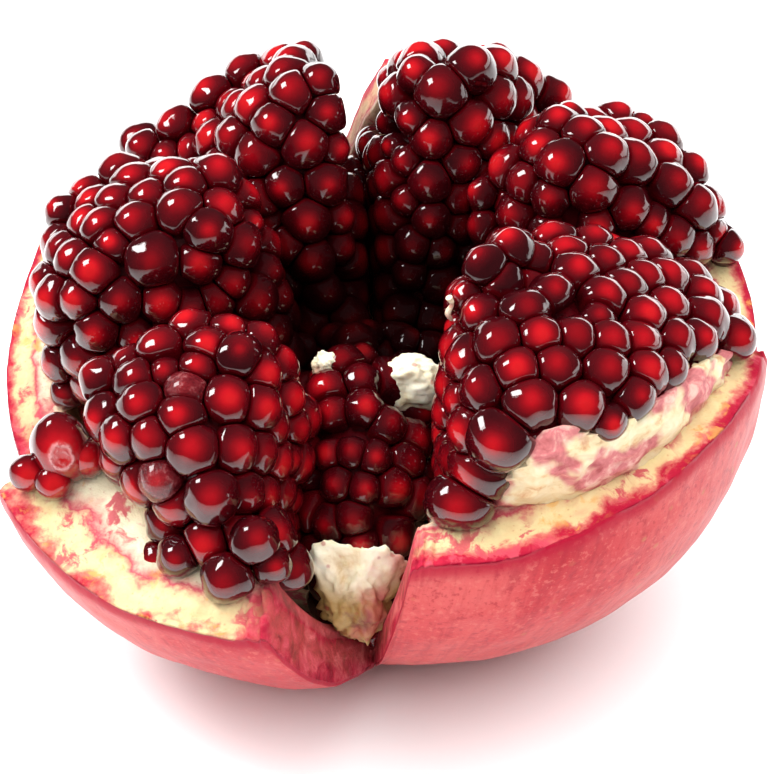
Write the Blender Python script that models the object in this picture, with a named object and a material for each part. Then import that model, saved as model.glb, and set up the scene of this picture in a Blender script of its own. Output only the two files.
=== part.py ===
"""Open pomegranate: six petals of rind joined at the base, a cluster of arils on
each petal, a low inner cluster, and torn scraps of pith.

Metres, +Z up. The origin is the centre of the flat spot that the fruit rests on.
Azimuth 0 is +X, 90 is +Y (the back), -90 is -Y (the front).
"""
import math

import bmesh
import bpy
import numpy as np
from mathutils import Vector
from mathutils.bvhtree import BVHTree

MM = 0.001

# ---- driving dimensions, mm and degrees -------------------------------------
REST_RADIUS = 13.0            # flat spot under the fruit
SKIN_PROFILE = [              # radius, height of the outer skin before the petals lean
    (0, 0), (REST_RADIUS, 0), (19, 1.4), (26, 4.8), (33, 10), (39.5, 17),
    (44.5, 25), (47.8, 33), (49.5, 42), (49.2, 52), (47, 62), (42, 72)]
FLOOR_WALL = 5.0              # thickness of the wall at the base
HINGE = (16.0, 2.0)           # radius, height about which a petal leans
LEAN_FROM, LEAN_TO = 14.0, 46.0   # arc length along the skin where the lean sets in
GAP = 0.35                    # clearance between touching pieces

# azimuth from, to; rim height at the start, middle and end before leaning;
# lean; direction of the lean; wall at the rim; rise of the inner lip
PETALS = {
    "front_right":  (-92.6, -9, 42, 51.5, 55.5, 8, -10, 8.5, 2.5),
    "back_right":   (-4, 54, 50, 60, 57, 8, 22, 6.0, 1.0),
    "back_center":  (58, 92, 60, 63, 66, 2, 75, 5.5, 1.0),
    "back_left":    (100, 143, 64, 61.5, 61, 8, 126, 5.5, 1.0),
    "left":         (147, 193, 58, 48.5, 39, 15.5, 172, 6.0, 1.5),
    "front_left":   (198, 263, 47, 43.5, 35, 17, 210, 9.0, 3.0),
}
# height that each slit is torn down to, after the petal of that name
SLIT_BOTTOM = {"front_right": 36, "back_right": 40, "back_center": 30,
               "back_left": 36, "left": 27, "front_left": 15}
PETAL_COLUMNS = (16, 12, 9, 10, 10, 13)
SLIT_COLUMNS = 4
OUTER_ROWS, CUT_ROWS, INNER_ROWS = 11, 2, 9

# clusters: azimuth centre and half-width; radius centre and half-depth; height
# centre and half-height; lean outwards; fall to the outside; lift of the foot;
# fall along the azimuth; offset x, y
CLUSTERS = {
    "arils_front_right": (-38, 44, 30.5, 18.5, 46, 29.5, .22, 14, 24, -2, 3, 0),
    "arils_back_right":  (30, 24, 31.5, 18.5, 47.5, 32.5, .27, 16, 14, 0, 2, 0),
    "arils_back_center": (74, 22, 30.5, 17, 49, 36, .24, 16, 14, -2, 0, 0),
    "arils_back_left":   (121.5, 24, 32, 19, 47.5, 35, .28, 20, 14, -8, 0, 0),
    "arils_left":        (169, 25, 31.5, 19, 44, 31, .25, 14, 14, -2, 0, 0),
    "arils_front_left":  (225, 22, 31, 16.5, 39, 27, .35, 12, 10, -2, -1, 0),
}
CLUSTER_POWER = 3.4
CLUSTER_RINGS = (24, 14)
# azimuth of the plane between each cluster and the next
SPLITS = {"arils_front_right": 7, "arils_back_right": 53, "arils_back_center": 96,
          "arils_back_left": 145, "arils_left": 196, "arils_front_left": 252}
CENTER_POS = (-4, -6, 24)         # inner cluster, a long dome
CENTER_SIZE = (14.5, 26, 24)
# torn scraps of pith: centre and half-sizes
PITH = {
    "pith_center": ((4.2, -6.5, 43.0), (5.2, 3.6, 4.0)),
    "pith_left":   ((-9.0, -6.4, 45.6), (2.3, 2.2, 2.4)),
    "pith_front":  ((-4.6, -32.6, 27.4), (5.4, 3.8, 6.0)),
}
# arils that came away and lie on the front left petal: centre, half-sizes
LOOSE = {
    "aril_loose_1": ((-47.0, -25.2, 45.6), (3.6, 3.4, 4.0)),
    "aril_loose_2": ((-42.2, -26.6, 43.9), (2.7, 2.7, 3.0)),
    "aril_loose_3": ((-47.0, -28.6, 41.2), (2.8, 2.7, 2.6)),
    "aril_loose_4": ((-50.8, -26.8, 41.4), (2.8, 2.7, 2.8)),
}
FIBRE_PATH = [(8.9, -22.6, 65.0), (8.4, -22.9, 66.2), (8.8, -22.8, 67.4), (8.6, -23.0, 68.6)]
FIBRE_RADIUS = 0.35


def smooth(a, b, x):
    t = min(1.0, max(0.0, (x - a) / (b - a)))
    return t * t * (3 - 2 * t)


PROFILE = np.array(SKIN_PROFILE, float)
ARC = np.concatenate([[0], np.cumsum(np.hypot(*np.diff(PROFILE, axis=0).T))])


def arc_at_height(z):
    return float(np.interp(z, PROFILE[1:, 1], ARC[1:]))


def skin_at(s):
    """radius, height and unit tangent of the skin profile at arc length s"""
    r, z = np.interp(s, ARC, PROFILE[:, 0]), np.interp(s, ARC, PROFILE[:, 1])
    a, b = max(0.0, s - 1.5), min(ARC[-1], s + 1.5)
    tr = np.interp(b, ARC, PROFILE[:, 0]) - np.interp(a, ARC, PROFILE[:, 0])
    tz = np.interp(b, ARC, PROFILE[:, 1]) - np.interp(a, ARC, PROFILE[:, 1])
    n = math.hypot(tr, tz)
    return r, z, tr / n, tz / n


def lean(th, s, r, z, petal):
    """a point of the upright wall, leaned out with its petal"""
    ang, phi = math.radians(petal[5]), petal[6]
    a = math.radians(th - phi)
    u, w = r * math.cos(a), r * math.sin(a)
    k = smooth(LEAN_FROM, LEAN_TO, s) * ang
    du, dz = u - HINGE[0], z - HINGE[1]
    u2 = HINGE[0] + du * math.cos(k) + dz * math.sin(k)
    z2 = HINGE[1] - du * math.sin(k) + dz * math.cos(k)
    c, sn = math.cos(math.radians(phi)), math.sin(math.radians(phi))
    return np.array([u2 * c - w * sn, u2 * sn + w * c, z2])


def columns(torn=True):
    """azimuth, rim height, wall, lip rise, petal weights of each column of the wall;
    the slits between the petals are left closed where torn is False"""
    cols = []
    names = list(PETALS)
    for i, name in enumerate(names):
        p, q = PETALS[name], PETALS[names[(i + 1) % len(names)]]
        n = PETAL_COLUMNS[i]
        for j in range(n + 1):
            t = j / n
            h = p[2] * (1 - t) * (1 - 2 * t) + 4 * p[3] * t * (1 - t) + p[4] * t * (2 * t - 1)
            cols.append((p[0] + (p[1] - p[0]) * t, h, p[7], p[8], p, p, 0.0))
        end = q[0] if q[0] > p[1] else q[0] + 360
        bottom = SLIT_BOTTOM[name]
        for j in range(1, SLIT_COLUMNS):
            t = j / SLIT_COLUMNS
            k = abs(2 * t - 1)
            top = p[4] if t < .5 else q[2]
            if not torn:
                k, top = 1, p[4] * (1 - t) + q[2] * t
            cols.append((p[1] + (end - p[1]) * t, bottom + (top - bottom) * k ** 1.3,
                         p[7] + (q[7] - p[7]) * t, .5, p, q, t))
    return cols


def wall_point(col, row):
    """a point of the rind: rows run up the skin, over the cut edge and down inside"""
    th, height, wall, rise, p, q, t = col
    s_rim = arc_at_height(height)
    if row <= OUTER_ROWS:
        f = row / OUTER_ROWS
        s, depth = s_rim * f if row > 1 else max(REST_RADIUS, s_rim * f) if row else 0, 0.0
        if row == 1:
            s = REST_RADIUS
        elif row > 1:
            s = REST_RADIUS + (s_rim - REST_RADIUS) * (row - 1) / (OUTER_ROWS - 1)
    elif row <= OUTER_ROWS + CUT_ROWS:
        f = (row - OUTER_ROWS) / CUT_ROWS
        s, depth = s_rim + rise * f, wall * f
    else:
        f = (row - OUTER_ROWS - CUT_ROWS) / INNER_ROWS
        s = (s_rim + rise) * (1 - f)
        depth = wall + (FLOOR_WALL - wall) * smooth(0, 1, f)
    r, z, tr, tz = skin_at(s)
    r, z = r - depth * tz, z + depth * tr
    r = max(r, 0.0)
    a = lean(th, s, r, z, p)
    if q is p:
        return a
    w = smooth(0, 1, t)
    return a * (1 - w) + lean(th, s, r, z, q) * w


def material(name, color, rough, metallic=0.0):
    m = bpy.data.materials.new(name)
    m.use_nodes = True
    b = m.node_tree.nodes["Principled BSDF"]
    b.inputs["Base Color"].default_value = (*color, 1)
    b.inputs["Roughness"].default_value = rough
    b.inputs["Metallic"].default_value = metallic
    return m


def add(name, bm, mat, coll):
    me = bpy.data.meshes.new(name)
    bm.to_mesh(me)
    bm.free()
    me.materials.append(mat)
    me.shade_smooth()
    ob = bpy.data.objects.new(name, me)
    coll.objects.link(ob)
    return ob


def ball(segments, rings):
    """a unit ball whose vertices know their ring (0 at the bottom) and column"""
    bm = bmesh.new()
    bmesh.ops.create_uvsphere(bm, u_segments=segments, v_segments=rings, radius=1.0)
    place = {}
    for v in bm.verts:
        ring = round((1 - math.acos(max(-1, min(1, v.co.z))) / math.pi) * rings)
        col = round(math.atan2(v.co.y, v.co.x) / (2 * math.pi) * segments) % segments
        place[v] = (ring, col)
    return bm, place


def rind_mesh(torn=True):
    cols = columns(torn)
    rows = OUTER_ROWS + CUT_ROWS + INNER_ROWS
    bm, place = ball(len(cols), rows)
    for v, (ring, col) in place.items():
        if ring == 0:
            v.co = (0, 0, 0)
        elif ring == rows:
            v.co = Vector((0, 0, FLOOR_WALL)) * MM
        else:
            v.co = Vector(wall_point(cols[col], ring)) * MM
    bmesh.ops.triangulate(bm, faces=bm.faces)
    return bm


def lumps(p, size):
    """height of the aril-sized swellings of a cluster's surface at p"""
    x, y, z = p / size
    return (math.sin(x + 1.3 * math.sin(z)) * math.sin(1.1 * y + .7) * math.sin(.9 * z + .4 * x))


class Solid:
    """a shape, to tell whether a point is clear of it"""

    def __init__(self, bm):
        self.tree = BVHTree.FromBMesh(bm)
        bm.free()

    def clear(self, p, gap, centre):
        """the way from the centre of a piece to p, and a gap around p, are free"""
        q, c = Vector(p) * MM, Vector(centre) * MM
        if self.tree.find_nearest(q)[3] < gap * MM:
            return False
        way = q - c
        return self.tree.ray_cast(c, way.normalized(), way.length)[0] is None


def ellipsoid_clear(p, centre, size, gap=2 * GAP):
    d = (np.array(p) - np.array(centre)) / (np.array(size) + gap)
    return d @ d >= 1.0


def beyond_plane(p, az, side):
    n = np.array([-math.sin(math.radians(az)), math.cos(math.radians(az)), 0.0])
    return (p @ n) * side >= GAP / 2


def retreat(p, centre, tests):
    """p, drawn back towards the centre of its piece until it is clear"""
    for _ in range(60):
        if all(t(p, centre) for t in tests):
            return p
        p = centre + (p - centre) * 0.965
    return p


def make_cluster(name, tests, mat, coll):
    tc, dt, rc, dr, zc, dz, tilt, drop, lift, skew, ox, oy = CLUSTERS[name]
    names = list(CLUSTERS)
    before = SPLITS[names[names.index(name) - 1]]
    after = SPLITS[name]
    mid = math.radians(tc)
    centre = np.array([(rc + 2) * math.cos(mid) + ox, (rc + 2) * math.sin(mid) + oy, zc + 2])
    tests = tests + [lambda p, c: beyond_plane(p, before, 1),
                     lambda p, c: beyond_plane(p, after, -1)]
    bm, place = ball(*CLUSTER_RINGS)
    for v in bm.verts:
        d = np.array(v.co)
        d = d / (np.abs(d) ** CLUSTER_POWER).sum() ** (1 / CLUSTER_POWER)
        x, y, z = d
        X, Z1 = (x + 1) / 2, (z + 1) / 2
        Z = zc + dz * z - drop * X * Z1 + lift * X * (1 - Z1) + skew * y
        R = rc + dr * x + tilt * (Z - zc)
        T = math.radians(tc + dt * y)
        p = np.array([R * math.cos(T) + ox, R * math.sin(T) + oy, Z])
        out = (p - centre) / np.linalg.norm(p - centre)
        v.co = Vector(retreat(p + out * .6 * lumps(p, 2.1), centre, tests)) * MM
    return add(name, bm, mat, coll)


def make_blob(name, pos, size, tests, mat, coll, segments=(12, 8), rough=0.0):
    pos, size = np.array(pos, float), np.array(size, float)
    bm, place = ball(*segments)
    for v in bm.verts:
        d = np.array(v.co)
        p = pos + d * size * (1 - rough * (.5 + .5 * lumps(pos + d * size, 1.1)))
        v.co = Vector(retreat(p, pos, tests)) * MM
    return add(name, bm, mat, coll)


def make_cutter(name, bm, coll):
    """a shape, grown by the clearance, that is cut away from its neighbours"""
    bm.normal_update()
    grown = {v: v.co + v.normal * 1.6 * GAP * MM for v in bm.verts}
    for v, co in grown.items():
        v.co = co
    me = bpy.data.meshes.new(name)
    bm.to_mesh(me)
    bm.free()
    ob = bpy.data.objects.new(name, me)
    ob.hide_render = True
    ob.display_type = "WIRE"
    coll.objects.link(ob)
    return ob


def cut(ob, *cutters):
    for c in cutters:
        m = ob.modifiers.new("clear_of_" + c.name, "BOOLEAN")
        m.operation = "DIFFERENCE"
        m.object = c


def copy_mesh(ob):
    bm = bmesh.new()
    bm.from_mesh(ob.data)
    return bm


def make_fibre(mat, coll):
    cu = bpy.data.curves.new("fibre", "CURVE")
    cu.dimensions = "3D"
    cu.bevel_depth = FIBRE_RADIUS * MM
    cu.bevel_resolution = 2
    cu.use_fill_caps = True
    sp = cu.splines.new("POLY")
    sp.points.add(len(FIBRE_PATH) - 1)
    for pt, co in zip(sp.points, FIBRE_PATH):
        pt.co = (*[c * MM for c in co], 1)
    cu.materials.append(mat)
    ob = bpy.data.objects.new("fibre", cu)
    coll.objects.link(ob)
    return ob


def main():
    for ob in list(bpy.data.objects):
        bpy.data.objects.remove(ob, do_unlink=True)
    coll = bpy.data.collections.new("open_pomegranate")
    bpy.context.scene.collection.children.link(coll)

    skin = material("rind", (.62, .11, .12), .45)
    aril = material("arils", (.28, .004, .012), .15)
    pith = material("pith", (.80, .70, .50), .6)

    cutters = bpy.data.collections.new("cutters")
    bpy.context.scene.collection.children.link(cutters)

    add("rind", rind_mesh(), skin, coll)
    rind = Solid(rind_mesh(torn=False))   # the bowl without its slits bounds the clusters
    wall = make_cutter("rind_clearance", rind_mesh(), cutters)
    in_rind = lambda p, c: rind.clear(p, GAP, c)

    scraps = []
    for name, (pos, size) in PITH.items():
        ob = make_blob(name, pos, size, [in_rind], pith, coll, rough=.22)
        scraps.append(make_cutter(name + "_clearance", copy_mesh(ob), cutters))
        cut(ob, wall)
    off_pith = [lambda p, c, e=e: ellipsoid_clear(p, e[0], e[1]) for e in PITH.values()]

    ob = make_blob("arils_center", CENTER_POS, CENTER_SIZE, [in_rind] + off_pith[2:], aril, coll, (22, 14))
    cut(ob, wall, *scraps)
    off_center = lambda p, c: ellipsoid_clear(p, CENTER_POS, CENTER_SIZE)

    off_loose = []
    for name, (pos, size) in LOOSE.items():
        cut(make_blob(name, pos, size, [in_rind] + off_loose, aril, coll), wall)
        off_loose.append(lambda p, c, e=(pos, size): ellipsoid_clear(p, e[0], e[1]))

    for name in CLUSTERS:
        cut(make_cluster(name, [in_rind, off_center] + off_pith + off_loose, aril, coll), wall)
    make_fibre(pith, coll)


main()
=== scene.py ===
import math

import bmesh
import bpy
import numpy as np
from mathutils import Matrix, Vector
from mathutils.bvhtree import BVHTree


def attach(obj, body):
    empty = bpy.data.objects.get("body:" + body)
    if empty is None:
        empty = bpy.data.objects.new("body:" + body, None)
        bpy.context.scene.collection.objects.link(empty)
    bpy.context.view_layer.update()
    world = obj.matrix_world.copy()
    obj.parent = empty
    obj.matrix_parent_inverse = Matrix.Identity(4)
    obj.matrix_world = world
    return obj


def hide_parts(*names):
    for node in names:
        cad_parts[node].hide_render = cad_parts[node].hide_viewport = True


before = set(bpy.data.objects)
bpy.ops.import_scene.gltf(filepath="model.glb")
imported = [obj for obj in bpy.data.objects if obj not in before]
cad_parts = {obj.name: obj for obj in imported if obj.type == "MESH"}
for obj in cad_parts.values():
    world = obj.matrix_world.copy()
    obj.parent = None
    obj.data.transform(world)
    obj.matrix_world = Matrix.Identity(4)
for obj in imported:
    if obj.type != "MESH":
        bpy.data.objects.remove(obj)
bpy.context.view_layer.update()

MM = 0.001
RNG = np.random.default_rng(11)


# ---------------------------------------------------------------- camera ----
ELEVATION, DISTANCE, LENS, FRAME_PX = 35.0, 420.0, 130.0, 774
TARGET = np.array([0.0, 0.0, 37.5])
_e = math.radians(ELEVATION)
BACK = np.array([0.0, -math.cos(_e), math.sin(_e)])
EYE = TARGET + BACK * DISTANCE
RIGHT = np.array([1.0, 0.0, 0.0])
UP = np.cross(RIGHT, -BACK)
PX = LENS / 36.0 * FRAME_PX

cam = bpy.data.cameras.new("camera")
cam.lens = LENS
cam.sensor_width = 36.0
cam.clip_start, cam.clip_end = 0.01, 20.0
cam_ob = bpy.data.objects.new("camera", cam)
bpy.context.scene.collection.objects.link(cam_ob)
cam_ob.location = Vector(EYE) * MM
cam_ob.rotation_euler = (math.radians(90 - ELEVATION), 0, 0)
bpy.context.scene.camera = cam_ob


def sight(px, py):
    """direction from the camera through a place in the 774 px frame"""
    d = -BACK + RIGHT * (px - FRAME_PX / 2) / PX + UP * (FRAME_PX / 2 - py) / PX
    return d / np.linalg.norm(d)


def depth_of(p):
    return float((np.asarray(p) - EYE) @ -BACK)


# ----------------------------------------------------------------- noise ----
_perm = np.random.default_rng(3).permutation(1024)
_grad = np.random.default_rng(4).normal(size=(1024, 3))
_grad /= np.linalg.norm(_grad, axis=1)[:, None]


def noise(P, seed=0):
    P = np.asarray(P, float) + seed * 17.31
    I = np.floor(P).astype(np.int64)
    f = P - I
    u = f ** 3 * (f * (f * 6 - 15) + 10)
    out = np.zeros(P.shape[:-1])
    for dx in (0, 1):
        wx = u[..., 0] if dx else 1 - u[..., 0]
        for dy in (0, 1):
            wy = u[..., 1] if dy else 1 - u[..., 1]
            for dz in (0, 1):
                wz = u[..., 2] if dz else 1 - u[..., 2]
                h = _perm[(I[..., 0] + dx) & 1023]
                h = _perm[(h + I[..., 1] + dy) & 1023]
                h = _perm[(h + I[..., 2] + dz) & 1023]
                g = _grad[h]
                d = (g[..., 0] * (f[..., 0] - dx) + g[..., 1] * (f[..., 1] - dy)
                     + g[..., 2] * (f[..., 2] - dz))
                out += wx * wy * wz * d
    return out * 1.5


def fbm(P, octaves=4, seed=0):
    out, a, s = 0.0, 1.0, 1.0
    for k in range(octaves):
        out = out + a * noise(np.asarray(P) * s, seed + k)
        a, s = a * 0.5, s * 2.03
    return out


def smooth(a, b, x):
    t = np.clip((x - a) / (b - a), 0, 1)
    return t * t * (3 - 2 * t)


# ------------------------------------------------------------ mesh tools ----
def make_mesh(name, V, F, attrs=None, smooth_shade=True):
    """V in mm, F an array of triangles or quads"""
    me = bpy.data.meshes.new(name)
    V, F = np.asarray(V, np.float32) * MM, np.asarray(F, np.int32)
    me.vertices.add(len(V))
    me.vertices.foreach_set("co", V.ravel())
    k = F.shape[1]
    me.loops.add(F.size)
    me.loops.foreach_set("vertex_index", F.ravel())
    me.polygons.add(len(F))
    me.polygons.foreach_set("loop_start", np.arange(len(F), dtype=np.int32) * k)
    me.polygons.foreach_set("loop_total", np.full(len(F), k, np.int32))
    me.update(calc_edges=True)
    me.validate()
    for key, val in (attrs or {}).items():
        val = np.asarray(val, np.float32)
        if val.ndim == 1:
            a = me.attributes.new(key, "FLOAT", "POINT")
            a.data.foreach_set("value", val)
        else:
            a = me.attributes.new(key, "FLOAT_VECTOR", "POINT")
            a.data.foreach_set("vector", val.ravel())
    if smooth_shade:
        me.shade_smooth()
    ob = bpy.data.objects.new(name, me)
    bpy.context.scene.collection.objects.link(ob)
    return ob


def icosphere(level):
    bm = bmesh.new()
    bmesh.ops.create_icosphere(bm, subdivisions=level, radius=1.0)
    bm.verts.ensure_lookup_table()
    V = np.array([v.co for v in bm.verts])
    F = np.array([[v.index for v in f.verts] for f in bm.faces])
    bm.free()
    return V / np.linalg.norm(V, axis=1)[:, None], F


# ------------------------------------------------------------------ rind ----
SKIN_PROFILE = np.array([
    (0, 0), (13, 0), (19, 1.4), (26, 4.8), (33, 10), (39.5, 17), (44.5, 25),
    (47.8, 33), (49.5, 42), (49.2, 52), (47, 62), (42, 72)], float)
FLOOR_WALL = 5.0
HINGE_R, HINGE_Z = 16.0, 2.0
LEAN_FROM, LEAN_TO = 14.0, 46.0
# the petals of the rind: azimuth from, to; lean outwards; its direction; curl of the top
PETALS = [(-92.6, -9, 8, -10, 0.0), (-4, 54, 8, 22, 0.0), (58, 90, 2, 75, 0.0),
          (101, 143, 8, 126, 0.0), (147, 193, 15.5, 172, 0.22), (198, 266, 17, 210, 0.0)]
# round the rim: azimuth, height, wall, rise of the inner lip, width and rise of the
# flesh inside it, how far the cut is a tear
STATIONS = np.array([
    (-92.6, 40.5, 6.0, 0.3, 1.0, 0.0, 1.0), (-92, 42.0, 8.0, 0.8, 1.0, 0.0, 0.8),
    (-90, 42.5, 8.5, 1.0, 1.0, 0.2, 0.2), (-85, 42.8, 8.5, 1.0, 3.5, 1.5, 0.0),
    (-80, 43.5, 8.0, 1.0, 7.0, 3.0, 0.0), (-75, 44.7, 7.5, 1.2, 8.5, 4.0, 0.0),
    (-70, 46.4, 7.2, 1.5, 8.5, 4.0, 0.0), (-62, 49.0, 7.0, 1.5, 8.0, 3.5, 0.0),
    (-54, 50.7, 6.8, 1.5, 7.5, 3.0, 0.0), (-46, 52.5, 6.5, 1.5, 6.5, 2.5, 0.0),
    (-38, 54.0, 6.3, 1.5, 3.5, 2.0, 0.0), (-30, 55.0, 6.0, 1.5, 3.5, 2.0, 0.0),
    (-22, 55.4, 5.5, 1.5, 3.5, 2.0, 0.0), (-13, 55.6, 5.2, 1.5, 3.5, 2.0, 0.0),
    (-9, 54.5, 5.0, 1.0, 2.0, 0.5, 0.8), (-6.5, 40.0, 4.5, 0.5, 1.0, 0.0, 1.0),
    (-4, 49.0, 5.0, 0.5, 2.0, 0.5, 0.8), (-1, 51.0, 5.5, 1.0, 4.0, 1.5, 0.0),
    (25, 60.0, 5.5, 1.0, 5.0, 2.0, 0.0), (51, 58.0, 5.0, 1.0, 4.0, 1.5, 0.0),
    (54, 56.5, 5.0, 1.0, 1.5, 0.5, 0.8), (56, 30.0, 4.5, 0.5, 1.0, 0.0, 1.0),
    (58, 59.5, 5.0, 0.5, 1.5, 0.5, 0.8), (61, 61.0, 5.0, 1.0, 3.0, 1.5, 0.0),
    (75, 63.0, 5.0, 1.0, 4.0, 2.0, 0.0), (88.5, 69.0, 5.0, 1.0, 2.0, 1.0, 0.1),
    (91, 70.0, 5.0, 0.5, 1.0, 0.3, 0.3), (93, 64.0, 5.0, 0.3, 0.8, 0.0, 0.4),
    (96.5, 50.0, 5.0, 0.3, 0.8, 0.0, 0.5), (99, 36.0, 4.5, 0.3, 0.8, 0.0, 1.0),
    (101, 63.5, 5.0, 0.5, 1.5, 0.5, 0.8), (104, 64.5, 5.0, 1.0, 3.0, 1.5, 0.0),
    (120, 61.5, 5.0, 1.0, 4.0, 2.0, 0.0), (140, 62.0, 5.0, 1.0, 3.0, 1.5, 0.0),
    (143, 60.5, 5.0, 0.5, 1.5, 0.5, 0.8), (145, 27.0, 4.5, 0.5, 1.0, 0.0, 1.0),
    (147, 58.0, 4.5, 0.5, 1.5, 0.5, 0.8), (150, 58.5, 4.5, 1.0, 2.0, 1.0, 0.0),
    (155, 55.5, 4.5, 1.0, 2.0, 1.0, 0.0), (162, 51.5, 4.5, 1.0, 2.0, 1.0, 0.0),
    (170, 48.5, 4.5, 1.0, 2.5, 1.5, 0.0), (180, 45.0, 5.0, 1.0, 4.0, 2.0, 0.1),
    (188, 41.0, 5.0, 1.0, 4.0, 1.5, 0.3), (193, 38.0, 5.0, 0.5, 2.0, 0.5, 0.8),
    (195.5, 15.0, 5.0, 0.5, 1.0, 0.0, 1.0), (198, 43.5, 5.5, 0.5, 2.0, 1.0, 0.8),
    (200, 46.5, 6.5, 1.0, 4.0, 2.0, 0.3), (204, 48.6, 7.5, 1.2, 8.0, 3.0, 0.0),
    (209, 48.6, 8.0, 1.5, 9.5, 3.5, 0.0), (214, 46.8, 8.0, 1.5, 10.0, 3.5, 0.0),
    (220, 45.3, 7.5, 1.5, 9.5, 3.0, 0.0), (226, 44.1, 7.0, 1.5, 8.5, 2.5, 0.0),
    (232, 43.0, 6.5, 1.2, 7.5, 2.0, 0.0), (238, 41.8, 6.2, 1.0, 6.5, 1.5, 0.0),
    (249, 39.6, 6.2, 1.0, 5.5, 1.2, 0.0), (255, 38.2, 6.6, 1.0, 4.0, 1.2, 0.1), (258, 38.4, 6.8, 1.0, 3.5, 1.2, 0.7),
    (260.6, 38.0, 7.2, 1.0, 3.0, 2.0, 1.0), (261.6, 31.0, 7.2, 1.0, 2.5, 1.0, 1.0),
    (262.6, 24.0, 7.0, 1.0, 2.0, 0.5, 1.0), (263.8, 17.5, 6.5, 1.0, 1.5, 0.3, 1.0),
    (265, 12.5, 6.0, 0.8, 0.8, 0.0, 1.0), (266, 8.5, 5.5, 0.8, 0.8, 0.0, 1.0),
    (266.5, 6.0, 5.0, 0.5, 0.5, 0.0, 1.0), (266.9, 9.0, 5.0, 0.3, 0.5, 0.0, 1.0),
    (267.4, 40.5, 6.0, 0.3, 1.0, 0.0, 1.0)], float)


def fine_profile():
    """the skin profile as a smooth curve, sampled finely"""
    P = SKIN_PROFILE
    s = np.concatenate([[0], np.cumsum(np.hypot(*np.diff(P, axis=0).T))])
    S = np.linspace(0, s[-1], 500)
    R, Z = np.interp(S, s, P[:, 0]), np.interp(S, s, P[:, 1])
    k = np.hanning(29)
    k /= k.sum()
    flat = S < 12
    for _ in range(2):
        Rp = np.concatenate([-R[14:0:-1] * 1.0, R, R[-1] + (R[-1] - R[-2:-16:-1])])
        Zp = np.concatenate([Z[14:0:-1], Z, Z[-1] + (Z[-1] - Z[-2:-16:-1])])
        R2, Z2 = np.convolve(Rp, k, "valid"), np.convolve(Zp, k, "valid")
        R, Z = np.where(flat, R, R2), np.where(flat, Z, np.maximum(Z2, 0))
    tr, tz = np.gradient(R, S), np.gradient(Z, S)
    n = np.hypot(tr, tz)
    return S, R, Z, tr / n, tz / n


PS, PR_, PZ_, PTR, PTZ = fine_profile()


def arc_at_height(z):
    m = PS > 13
    return np.interp(z, PZ_[m], PS[m])


def lean(th, s, r, z, ang, phi, curl):
    a = np.radians(th - phi)
    u, w = r * np.cos(a), r * np.sin(a)
    t = np.clip((s - LEAN_FROM) / (LEAN_TO - LEAN_FROM), 0, 1)
    k = t * t * (3 - 2 * t) * np.radians(ang) * (1 - curl * smooth(44, 76, s))
    du, dz = u - HINGE_R, z - HINGE_Z
    u2 = HINGE_R + du * np.cos(k) + dz * np.sin(k)
    z2 = HINGE_Z - du * np.sin(k) + dz * np.cos(k)
    c, sn = np.cos(np.radians(phi)), np.sin(np.radians(phi))
    return np.stack([u2 * c - w * sn, u2 * sn + w * c, z2], -1)


def rind_columns(per_degree=1.9, slit=20):
    """for each column: azimuth, the six rim values, two leans and their blend"""
    out = []
    for i, p in enumerate(PETALS):
        q = PETALS[(i + 1) % len(PETALS)]
        t = np.linspace(0, 1, int((p[1] - p[0]) * per_degree) + 1)
        t = t - .09 * np.sin(2 * math.pi * t) if i in (0, 5) else t      # finer at the ends
        th = p[0] + (p[1] - p[0]) * t
        lean_p, one = p[2:5], np.ones_like(th)
        out.append((th, [v * one for v in lean_p], [v * one for v in lean_p], 0 * th))
        end = q[0] if q[0] > p[1] else q[0] + 360
        t = np.linspace(0, 1, slit + 2)[1:-1]
        one = np.ones(slit)
        out.append((p[1] + (end - p[1]) * t, [v * one for v in lean_p],
                    [v * one for v in q[2:5]], t * t * (3 - 2 * t)))
    th = np.concatenate([o[0] for o in out])
    rim = [np.interp(th, STATIONS[:, 0], STATIONS[:, k]) for k in range(1, 7)]
    la = [np.concatenate([o[1][k] for o in out]) for k in range(3)]
    lb = [np.concatenate([o[2][k] for o in out]) for k in range(3)]
    return th, rim, la, lb, np.concatenate([o[3] for o in out])


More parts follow.
